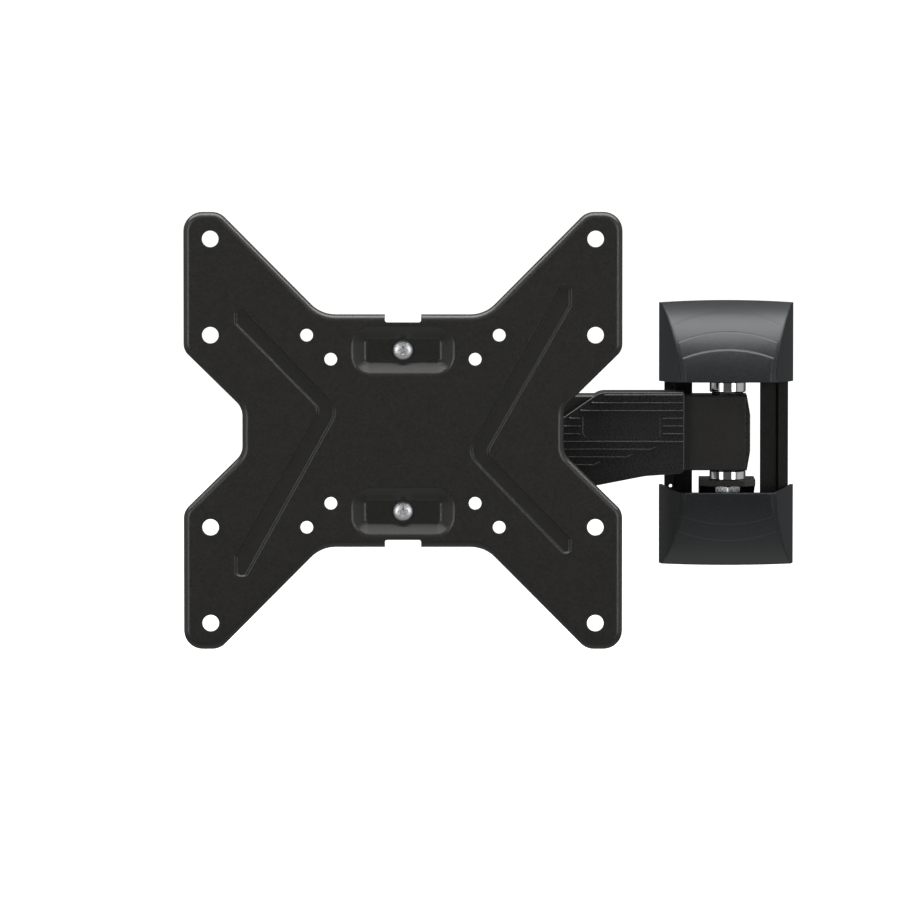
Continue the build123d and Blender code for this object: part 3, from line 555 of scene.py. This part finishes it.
def cover():
    """Surfaces of a whole cover: its shell, and one proud layer under each arc. A layer's row
    holds its inset, how far it is set back, its crest and the radius of its top edge."""
    outer = cover_sheet(0, shell_back, cover_high, bow_radius, cover_depth, rows=30)
    inner = cover_sheet(wall, shell_back + wall, cover_high - wall, bow_radius, cover_depth,
                        rows=30)
    surfaces = slab(outer, inner)
    for inset, setback, crest, edge in layers:
        face = cover_sheet(inset, setback, crest, arc_radius, layer_thick, corner=1.5, edge=edge)
        back = cover_sheet(inset + layer_side, setback + layer_thick, crest - layer_top,
                           arc_radius, 0.5, edge=0.4)
        surfaces += slab(face, back)
    return surfaces


upper_cover = solid("upper_cover", cover())
lower_cover = bpy.data.objects.new("lower_cover", upper_cover.data.copy())
lower_cover.data.transform(Matrix.Diagonal((1, 1, -1, 1)))
lower_cover.data.flip_normals()
bpy.context.scene.collection.objects.link(lower_cover)
present(upper_cover, "wall_bracket", "black_abs", cover_abs, "upper_wall_cover", bevel=0.45)
present(lower_cover, "wall_bracket", "black_abs", cover_abs, "lower_wall_cover", bevel=0.45)

# %% [markdown]
# ## The arm's cable cover
# A moulded cover clips over the front of the arm and hides the cables behind it. Ten fine ribs run
# along it, three of them broken by a plain field, and the last three end in a small upward flick.
# The shell is one skin through matching outlines, from its rounded front edge back and inside
# again. The ribs are half-round beads, which a plain extrusion wouldn't round over at their ends.

# %% Sizes of the cable cover
rib_height = 0.85
rib_width = 1.3
rib_pitch = 4.05
rib_first = 1.6
rib_margin = 4.5
rib_dot = 1.7
short_ribs = {7: 18.4, 8: 30.9, 9: 48.1}
flick = np.array([(0.8, 0.1), (1.6, 0.4), (3.8, 1.7)])
cad_rib = 0.6
guard_front = low["arm_cover"][1] + cad_rib
guard_rear = high["arm_cover"][1]
guard_left, guard_right = low["arm_cover"][0], high["arm_cover"][0]
guard_top = high["arm_cover"][2]
below_tube = 1.2
guard_base = low["arm_tube"][2] - below_tube
guard_wall = 1.6
guard_edge = 0.7
level_length = 44.4
corner_x = guard_right - level_length
slope = 0.688
diagonal_low = guard_top - (corner_x - guard_left) * slope
guard_corners = [(guard_right, guard_top), (corner_x, guard_top), (guard_left, diagonal_low),
                 (guard_left, guard_base - 2), (guard_left + 28, guard_base - 11),
                 (guard_right - 20.7, guard_base - 1.4), (guard_right, guard_base)]
guard_radii = [1.3, 9.0, 4.0, 5.0, 14.0, 30.0, 3.0]
field_left, field_right = -76.3, -35.6
field_drop, field_height = 12.5, 11.1
field_top = guard_top - field_drop
field_low = field_top - field_height
field_wall = 0.35
field_depth = 0.12
field_corners = [(field_right, field_low), (field_right, field_top), (field_left, field_top),
                 (field_left, field_low + 2.3), (field_left + 1.6, field_low)]
print("cable cover", guard_right - guard_left, "mm long")

# %% Shell and ribs of the cable cover


def bead(route, width=rib_width):
    """A half-round rib along a route of (x, z) points on the cover's front. Each section is an
    oval, wide across and rib_height tall, sunk a little; both ends close over a half circle."""
    route = np.array(route, float)
    ahead = np.diff(route, axis=0)
    ahead /= np.linalg.norm(ahead, axis=1)[:, None]
    ahead = np.concatenate([ahead[:1], (ahead[:-1] + ahead[1:]) / 2, ahead[-1:]])
    steps, around = 5, 12
    angle = np.linspace(0, np.pi / 2, steps)
    first = route[0] + np.outer(width / 2 * (1 - np.cos(angle)), ahead[0])
    last = route[-1] - np.outer(width / 2 * (1 - np.cos(angle[::-1])), ahead[-1])
    middle = np.concatenate([first, route[1:-1], last])
    size = np.concatenate([np.sin(angle), np.ones(len(route) - 2), np.sin(angle[::-1])])
    ahead = np.concatenate([ahead[:1].repeat(steps, 0), ahead[1:-1],
                            ahead[-1:].repeat(steps, 0)])
    across = np.stack([-ahead[:, 1], ahead[:, 0]], -1)
    turn = np.linspace(0, 2 * np.pi, around, endpoint=False)
    sideways = size[:, None] * np.cos(turn) * width / 2
    wide = middle[:, None] + sideways[..., None] * across[:, None]
    rise = rib_height * width / rib_width
    tall = guard_front - size[:, None] * np.maximum(np.sin(turn), -0.5) * rise
    return grid(np.stack([wide[..., 0], tall, wide[..., 1]], -1))


def ribs():
    """Ten ribs: whole ones, ones broken by the plain field, and three that end in a flick. Three
    of them start in a short, thicker dot."""
    beads = []
    around_field = half_dot = 0.9
    for row in range(10):
        z = guard_top - rib_first - row * rib_pitch
        start = max(corner_x - (guard_top - z) / slope, guard_left) + rib_margin
        end = guard_right - guard_edge
        if row in (1, 2, 3):
            beads.append(bead([(start - half_dot, z + 0.2), (start + half_dot, z)], rib_dot))
        if row in short_ribs:
            end = guard_right - short_ribs[row]
            beads.append(bead([(start, z), (end, z), *(flick + (end, z))]))
        elif field_low < z < field_top:
            beads.append(bead([(start, z), (field_left - around_field, z)]))
            beads.append(bead([(field_right + around_field, z), (end, z)]))
        else:
            beads.append(bead([(start, z), (end, z)]))
    return beads


edge_inset, edge_rise = roll(guard_edge)
lip = 0.3
insets = np.concatenate([edge_inset[::-1], [0, lip, guard_wall - lip, guard_wall, guard_wall]])
depths = np.concatenate([guard_front + guard_edge - edge_rise[::-1],
                         [guard_rear - lip, guard_rear, guard_rear, guard_rear - lip,
                          guard_front + guard_wall]])
shell = [outline(guard_corners, guard_radii, inset) for inset in insets]
share = np.linspace(-0.5, 1.5, 7)
field = [outline(field_corners, [0.6] * 5, inset) for inset in field_wall * share]
field_depths = guard_front + field_depth * soft_ramp(share, 0.5)
surfaces = [skin(shell, depths), flat_face(shell[-1:], depths[-1]),
            flat_face([shell[0], field[0]], guard_front), skin(field, field_depths),
            flat_face(field[-1:], field_depths[-1])]
cable_cover = solid("cable_cover", surfaces)
clear = 0.1
tube_middle = (low["arm_tube"] + high["arm_tube"]) / 2
tube_half = (high["arm_tube"] - low["arm_tube"]) / 2 + clear
ring = square * tube_half[[0, 2]] + tube_middle[[0, 2]]
ends = tube_middle[1] + tube_half[1] * np.array([-1, 1])
cut(cable_cover, solid("tube_space", prism(ring, *ends)))
rib_piece = solid("cable_cover_ribs", ribs())
present(cable_cover, "arm", "black_abs", guard_abs, "arm_cover", bevel=0.15)
present(rib_piece, "arm", "black_abs", guard_abs)

# %% [markdown]
# ## Spacers, bolts and nuts
# The arm turns on two upright bolts, with chromed spacers between its ends and the steel ears.
# These are turned parts, so each one is a profile spun round its axis. A hexagon is the same spin
# with a radius that changes with the angle, and the cone cut on its corners follows from that.

# %% Turned and hexagonal parts


around = 48
spin = np.arange(around) * 2 * np.pi / around


def turned(profile, centre, axis):
    """A profile of (radius, place along the axis) spun round the axis through centre. Both may
    be arrays that change with the angle. Axis is 0, 1 or 2 for X, Y or Z."""
    radius = np.stack([np.broadcast_to(r, around) for r, _ in profile])
    along = np.stack([np.broadcast_to(a, around) for _, a in profile])
    spun = [radius * np.cos(spin), radius * np.sin(spin)]
    spun.insert(axis, along)
    return grid(np.stack(spun, -1) + np.insert(np.array(centre, float), axis, 0))


def rounded_ring(inner, outer, start, end, edge):
    """A ring's profile: bore, face, and outer edges rounded over quarter circles."""
    inset, rise = roll(edge, 5)
    below = [(outer - edge + r, start + i) for i, r in zip(inset, rise)]
    above = [(outer - edge + r, end - i) for i, r in zip(inset[::-1], rise[::-1])]
    return [(inner, end), (inner, start), *below, *above, (inner, end)]


def hexagon(flats):
    """A hexagon's radius at each angle: half its flats over the cosine from the nearest flat."""
    return flats / 2 / np.cos((spin + np.pi / 6) % (np.pi / 3) - np.pi / 6)


def hex_profile(flats, start, end, bore=0.0, both=True):
    """A hexagon's profile from start to end, its corners cut by a 30 degree cone at its ends."""
    face_share = 0.96
    side, circle_radius = hexagon(flats), flats / 2 * face_share
    drop = (side - circle_radius) * np.tan(np.pi / 6) * np.sign(end - start)
    near = start + (drop if both else 0)
    return [(bore, end), (circle_radius, end), (side, end - drop), (side, near),
            (circle_radius if both else side, start), (bore, start), (bore, end)]


# %% Pivot spacers, bolts and nuts
m8_flats, m6_flats, m5_flats = 13.0, 10.0, 8.0
m8_radius, m6_radius, m5_radius = 4.0, 3.0, 2.5
clearance = 0.2
spacer_edge = 0.7
m8_tip, m6_tip, m5_tip = 0.6, 0.5, 0.4
for end, body in (("wall", "wall_bracket"), ("head", "head")):
    for place in ("upper", "lower"):
        name = f"{end}_{place}_spacer"
        centre = (low[name] + high[name])[:2] / 2
        outer = (high[name] - low[name])[0] / 2
        ring = rounded_ring(m8_radius + clearance, outer, low[name][2], high[name][2], spacer_edge)
        piece = solid(f"{name}_turned", [turned(ring, centre, 2)])
        present(piece, body, "chrome_spacer", chrome, name, bevel=0.2)
    bolt, nut, washer = (f"{end}_pivot_{part}" for part in ("bolt", "nut", "washer"))
    centre = (low[bolt] + high[bolt])[:2] / 2
    top = high[bolt][2]
    seat = high[washer][2]
    tip = low[bolt][2]
    shank = [(0.0, top)] + hex_profile(m8_flats, seat, top, both=False)[1:5]
    shank += [(m8_radius, seat), (m8_radius, tip + m8_tip), (m8_radius - m8_tip, tip), (0.0, tip)]
    piece = solid(f"{bolt}_turned", [turned(shank, centre, 2)])
    present(piece, body, "zinc_steel", zinc, bolt, bevel=0.2)
    hexagonal = hex_profile(m8_flats, low[nut][2], high[nut][2], bore=m8_radius)
    piece = solid(f"{nut}_turned", [turned(hexagonal, centre, 2)])
    present(piece, body, "zinc_steel", zinc, nut, bevel=0.2)

# %% [markdown]
# The screen plate is held by two M5 screws with domed heads and a cross recess. The recess is cut
# with two tapered blades, as the heading tool presses it.

# %% Screws of the screen plate


def blade(turn, y, centre):
    """One tapered blade of the cross: a rectangle at y that shrinks to under half its size at the
    recess's depth, and widens a little in front of the head."""
    sides = (cross_width, cross_thick) if turn else (cross_thick, cross_width)
    corners = square * sides / 2
    mouth, tip, ahead = 1.08, 0.45, 0.6
    rows = [corners * mouth, corners, corners * tip]
    places = [y - ahead, y, y + cross_depth]
    ring = [np.insert(row + centre, 1, place, 1) for row, place in zip(rows, places)]
    return [grid(np.stack(ring)), flat_face([rows[0] + centre], places[0]),
            flat_face([rows[-1] + centre], places[-1])]


head_radius, dome, bluntness = 5.15, 2.4, 0.8
cross_width, cross_thick, cross_depth = 5.2, 1.3, 1.8
head_front = low["plate_bolts"][1]
head_back = front_y + pocket_depth
screw_end = high["plate_bolts"][1]
angle = np.linspace(0, np.pi / 2, 9)
dome_profile = list(zip(head_radius * np.sin(angle)**bluntness,
                        head_front + dome * (1 - np.cos(angle))))
screw = dome_profile + [(head_radius, head_back), (m5_radius, head_back),
                        (m5_radius, screw_end - m5_tip), (m5_radius - m5_tip, screw_end),
                        (0, screw_end)]
for place, z in (("upper", pocket_z), ("lower", -pocket_z)):
    centre = np.array([plate_middle[0], plate_middle[2] + z])
    piece = solid(f"{place}_plate_screw", [turned(screw, centre, 1)])
    for turn in (0, 1):
        cut(piece, solid("blade", blade(turn, head_front, centre)))
    present(piece, "plate", "zinc_steel", bright_zinc, "plate_bolts", bevel=0.12)
nuts = "plate_nuts"
surfaces = [turned(hex_profile(m5_flats, high[nuts][1], low[nuts][1], bore=m5_radius),
                   (plate_middle[0], plate_middle[2] + z), 1) for z in (pocket_z, -pocket_z)]
present(solid("plate_nuts_turned", surfaces), "plate", "zinc_steel", zinc, nuts, bevel=0.15)

# %% [markdown]
# The tilt joint has an M6 bolt on each side, its head outside the tilt bracket's cheek and its nut
# inside the swivel bracket. Both are mirrored about the plate's middle.

# %% Tilt bolts and nuts
tilt_centre = (low["tilt_bolts"] + high["tilt_bolts"])[1:] / 2
bolts, nuts = [], []
nut_height, past_nut = 5.0, 1.0
x = plate_middle[0]
head_face = (high["tilt_bolts"] - low["tilt_bolts"])[0] / 2
seat = (high["tilt_washers"] - low["tilt_washers"])[0] / 2
nut_face = (high["tilt_nuts"] - low["tilt_nuts"])[0] / 2
for side in (-1, 1):
    hexagonal = hex_profile(m6_flats, x + side * seat, x + side * head_face, both=False)[1:5]
    tip = x + side * (nut_face - nut_height - past_nut)
    shank = [(0.0, x + side * head_face), *hexagonal, (m6_radius, x + side * seat),
             (m6_radius, tip + side * m6_tip), (m6_radius - m6_tip, tip), (0.0, tip)]
    bolts.append(turned(shank, tilt_centre, 0))
    hexagonal = hex_profile(m6_flats, x + side * (nut_face - nut_height), x + side * nut_face,
                            bore=m6_radius)
    nuts.append(turned(hexagonal, tilt_centre, 0))
present(solid("tilt_bolts_turned", bolts), "tilter", "zinc_steel", zinc, "tilt_bolts", bevel=0.15)
present(solid("tilt_nuts_turned", nuts), "tilter", "zinc_steel", zinc, "tilt_nuts", bevel=0.15)

# %% [markdown]
# ## Camera, light and floor
# The mount is seen from slightly above with a long lens. A wide soft box hangs over it, and a
# strip stands on each side of the camera. The room itself is dark, and lighter only far to the
# sides and steeply below, which keeps the faces that look at the camera black while the upper edges
# shine. The camera alone sees the room as white. The floor is self-lit paper, which takes no part
# in reflections or in the light that falls on the mount.

# %% Camera
left_of_middle = 0.0213
below_origin = 0.004
aim = np.array([(cad_box[0][0] + cad_box[1][0]) / 2 - left_of_middle, cad_box[0][1],
                -below_origin])
distance = 5.0
elevation = np.radians(3.9)
camera_data = bpy.data.cameras.new("camera")
camera_data.lens = 385
camera_data.sensor_width = 36
camera_data.clip_end = 200
camera = bpy.data.objects.new("camera", camera_data)
camera.location = aim + distance * np.array([0, -np.cos(elevation), np.sin(elevation)])
camera.rotation_euler = (np.pi / 2 - elevation, 0, 0)
bpy.context.scene.collection.objects.link(camera)
bpy.context.scene.camera = camera
bpy.context.scene.view_settings.view_transform = "Standard"
print("camera", distance, "m away with a", camera_data.lens, "mm lens")

# %% Room light and soft box
world = bpy.data.worlds.new("studio")
world.use_nodes = True
bpy.context.scene.world = world
tree = world.node_tree
tree.nodes.clear()
direction = node(tree, "ShaderNodeTexCoord").outputs["Generated"]
axes = node(tree, "ShaderNodeSeparateXYZ", {"Vector": direction})
below = node(tree, "ShaderNodeMapRange", {"Value": axes.outputs["Z"], "From Min": -0.4,
                                          "From Max": -0.9, "To Min": 0.0, "To Max": 0.35})
sideways = node(tree, "ShaderNodeMath", {0: axes.outputs["X"]}, operation="ABSOLUTE")
beside = node(tree, "ShaderNodeMapRange", {"Value": sideways.outputs["Value"], "From Min": 0.75,
                                           "From Max": 0.95, "To Min": 0.08, "To Max": 0.45})
room = node(tree, "ShaderNodeMath", {0: below.outputs["Result"], 1: beside.outputs["Result"]},
            operation="ADD")
seen = node(tree, "ShaderNodeLightPath").outputs["Is Camera Ray"]
strength = node(tree, "ShaderNodeMix", {"Factor": seen, "A": room.outputs["Value"], "B": 1.0})
glow = node(tree, "ShaderNodeBackground", {"Color": (1, 1, 1, 1),
                                           "Strength": strength.outputs["Result"]})
node(tree, "ShaderNodeOutputWorld", {"Surface": glow.outputs["Background"]})


def soft_box(name, place, width, height, radiance):
    """A rectangular light that faces the mount. Its power is its radiance times area times pi."""
    light = bpy.data.lights.new(name, "AREA")
    light.shape = "RECTANGLE"
    light.size, light.size_y = width, height
    light.energy = radiance * width * height * np.pi
    lamp = bpy.data.objects.new(name, light)
    lamp.location = place
    lamp.rotation_euler = (Vector(aim) - Vector(place)).to_track_quat("-Z", "Y").to_euler()
    bpy.context.scene.collection.objects.link(lamp)
    print(name, round(light.energy), "W")


overhead_height = 1.9
strip_distance = 2.5
strip_bearing = np.radians(40)
soft_box("overhead", (aim[0], 0.0, overhead_height), width=4.6, height=1.4, radiance=5.9)
for name, side in (("strip_left", -1), ("strip_right", 1)):
    away = np.array([side * np.sin(strip_bearing), -np.cos(strip_bearing), 0.1])
    soft_box(name, aim + strip_distance * away, width=1.0, height=1.4, radiance=3.4)

# %% Floor
floor_drop = 0.15
floor_size = 40.0
front_edge = -1.2
corner = np.array([(-floor_size, front_edge), (floor_size, front_edge), (floor_size, floor_size),
                   (-floor_size, floor_size)])
floor_points = np.insert(corner, 2, cad_box[0][2] - floor_drop, 1)
floor_mesh = bpy.data.meshes.new("floor")
floor_mesh.from_pydata(floor_points.tolist(), [], [(0, 1, 2, 3)])
paper = grained("lit_paper", "#f4f4f3", "#fafafa", grain=1.5, depth=0.0, rough=(0.8, 0.9),
                **{"Emission Color": (1, 1, 1, 1), "Emission Strength": 1.0})
floor_mesh.materials.append(paper)
floor = bpy.data.objects.new("floor", floor_mesh)
bpy.context.scene.collection.objects.link(floor)
floor.visible_diffuse = floor.visible_glossy = False

# %% [markdown]
# ## Finishes on the CAD pieces
# Brackets, tubes and washers keep their CAD meshes. Their triangles are welded and their sharp
# edges get a fine bevel, which catches the light as a real edge does.

# %% Materials and bevels for the CAD nodes
cad_weld = 0.01
cad_bevel = 0.35
for name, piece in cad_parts.items():
    slot_name = piece.data.materials[0].name.split(".")[0]
    piece.data.materials[0] = finishes[slot_name]
    weld = piece.modifiers.new("weld", "WELD")
    weld.merge_threshold = cad_weld * MM
    soften(piece, cad_bevel)
print(len(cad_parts), "CAD nodes finished")
